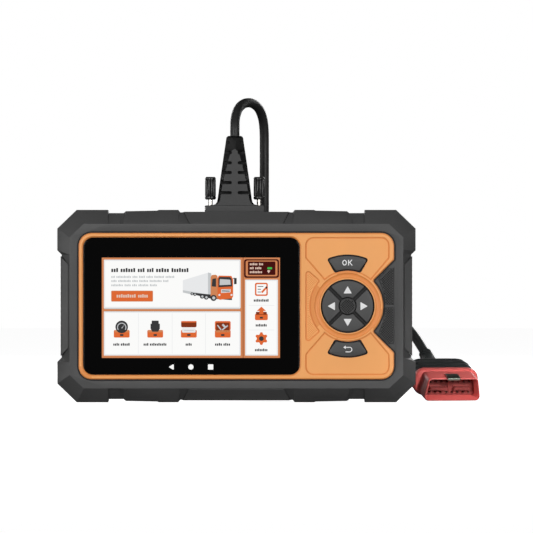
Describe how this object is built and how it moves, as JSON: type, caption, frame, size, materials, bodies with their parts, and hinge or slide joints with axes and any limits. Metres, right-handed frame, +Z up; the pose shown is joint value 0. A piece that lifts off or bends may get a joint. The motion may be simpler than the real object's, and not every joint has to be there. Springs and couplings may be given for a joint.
{
  "type": "obd code reader",
  "caption": "Tablet-style vehicle code reader with a wide screen, round key pad, chamfered grey case and a cable to a red vehicle plug.",
  "frame": {"origin": "middle of the tablet's lower edge, in the plane that it stands on", "axes": "+X to the tablet's right seen from the front, +Z up its face, -Y out of the screen"},
  "size_m": [0.2906, 0.1465, 0.2091],
  "materials": {
    "case_grey": "fine moulded texture",
    "grip_dark": "textured",
    "key_grey": "satin",
    "bezel_orange": "satin",
    "black_plastic": "satin",
    "cover_glass": "polished black glass",
    "display": "lit display",
    "circuit_board": "solder mask",
    "plug_red": "satin",
    "bright_steel": "bright",
    "nickel": "nickel plated",
    "black_rubber": "smooth"
  },
  "bodies": {
    "root": {"front_housing": "case_grey", "rear_housing": "case_grey", "connector_plate": "case_grey", "bottom_plate": "case_grey", "side_grip_left": "grip_dark", "side_grip_right": "grip_dark", "grip_pad_upper": "grip_dark", "grip_pad_lower": "grip_dark", "front_bezel": "bezel_orange", "dpad_spider": "black_plastic", "battery_pack": "black_plastic", "speaker": "black_plastic", "db15_socket": "black_plastic", "plug_hood": "black_plastic", "obd_backshell": "black_plastic", "cable_tie": "black_plastic", "cover_glass": "cover_glass", "lcd_module": "display", "key_board": "circuit_board", "main_board": "circuit_board", "obd_shroud": "plug_red", "obd_insert": "plug_red", "processor_shield": "bright_steel", "plug_shell": "bright_steel", "obd_contacts": "bright_steel", "obd_latch_tab": "bright_steel", "case_screw_1": "bright_steel", "case_screw_2": "bright_steel", "case_screw_3": "bright_steel", "case_screw_4": "bright_steel", "case_screw_5": "bright_steel", "case_screw_6": "bright_steel", "board_screw_1": "bright_steel", "board_screw_2": "bright_steel", "board_screw_3": "bright_steel", "board_screw_4": "bright_steel", "jack_post_left": "nickel", "jack_post_right": "nickel", "bezel_gasket": "black_rubber", "keypad_mat": "black_rubber", "cable_lead": "black_rubber", "cable_coil": "black_rubber", "cable_tail": "black_rubber", "obd_strain_relief": "black_rubber"},
    "key_up_body": {"key_up": "key_grey"},
    "key_down_body": {"key_down": "key_grey"},
    "key_left_body": {"key_left": "key_grey"},
    "key_right_body": {"key_right": "key_grey"},
    "key_ok_body": {"key_ok": "key_grey"},
    "key_back_body": {"key_back": "key_grey"},
    "thumb_screw_left_body": {"thumb_screw_left": "nickel"},
    "thumb_screw_right_body": {"thumb_screw_right": "nickel"}
  },
  "joints": [
    {"name": "press_up", "type": "slide", "parent": "root", "child": "key_up_body", "axis": [0, 1, 0], "range_m": [0, 0.0008], "stiffness_N_per_m": 800},
    {"name": "press_down", "type": "slide", "parent": "root", "child": "key_down_body", "axis": [0, 1, 0], "range_m": [0, 0.0008], "stiffness_N_per_m": 800},
    {"name": "press_left", "type": "slide", "parent": "root", "child": "key_left_body", "axis": [0, 1, 0], "range_m": [0, 0.0008], "stiffness_N_per_m": 800},
    {"name": "press_right", "type": "slide", "parent": "root", "child": "key_right_body", "axis": [0, 1, 0], "range_m": [0, 0.0008], "stiffness_N_per_m": 800},
    {"name": "press_ok", "type": "slide", "parent": "root", "child": "key_ok_body", "axis": [0, 1, 0], "range_m": [0, 0.0008], "stiffness_N_per_m": 800},
    {"name": "press_back", "type": "slide", "parent": "root", "child": "key_back_body", "axis": [0, 1, 0], "range_m": [0, 0.0008], "stiffness_N_per_m": 800},
    {"name": "turn_screw_left", "type": "hinge", "parent": "root", "child": "thumb_screw_left_body", "pos_m": [-0.01785, 0, 0.1469], "axis": [0, 0, 1], "continuous": true},
    {"name": "turn_screw_right", "type": "hinge", "parent": "root", "child": "thumb_screw_right_body", "pos_m": [0.01545, 0, 0.1469], "axis": [0, 0, 1], "continuous": true}
  ]
}
